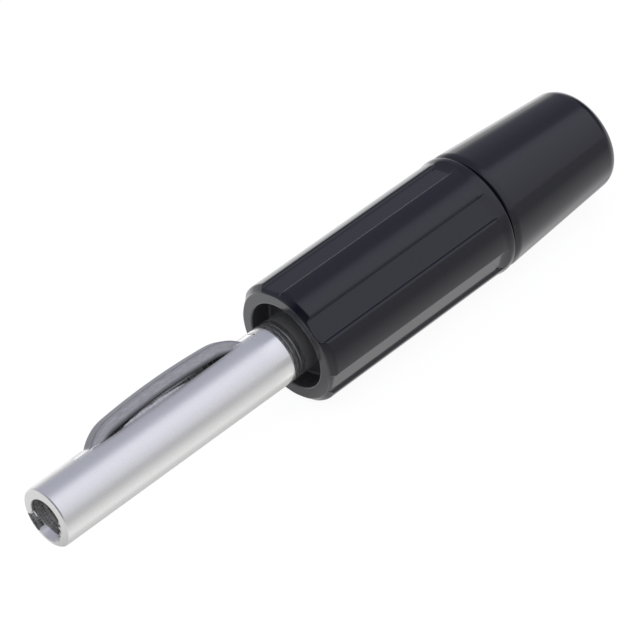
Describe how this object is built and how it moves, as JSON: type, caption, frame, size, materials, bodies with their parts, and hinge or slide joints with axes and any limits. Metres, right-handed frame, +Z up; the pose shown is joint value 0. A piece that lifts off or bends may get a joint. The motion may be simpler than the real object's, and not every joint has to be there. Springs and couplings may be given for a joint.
{
  "type": "banana plug",
  "caption": "Banana plug with a hollow slotted contact pin and bow spring, a fluted grip barrel with a recessed front, and a tapered screw-on rear cap with a wire hole.",
  "frame": {"origin": "centre of the barrel's front face, on the axis of the plug", "axes": "X along the plug, -X towards the tip of the pin; +Z up as the plug lies on one flat of its barrel"},
  "size_m": [0.0461, 0.0085, 0.0084],
  "materials": {
    "contact": "bright nickel plate on turned brass, fine rings left by the lathe",
    "spring": "satin plated spring strip, grain along its length",
    "screw": "plain plated steel",
    "barrel_plastic": "glossy moulded black plastic",
    "cap_plastic": "glossy moulded black plastic"
  },
  "bodies": {
    "plug": {"contact_pin": "contact", "clamp_screw": "screw", "barrel": "barrel_plastic"},
    "spring": {"bow_spring": "spring"},
    "cap": {"rear_cap": "cap_plastic"}
  },
  "joints": [
    {"name": "spring_press", "type": "slide", "parent": "plug", "child": "spring", "axis": [0, -0.3746, -0.9272], "range_m": [0, 0.00103], "stiffness_N_per_m": 50},
    {"name": "cap_off", "type": "slide", "parent": "plug", "child": "cap", "axis": [1, 0, 0], "range_m": [0, 0.0055]}
  ]
}
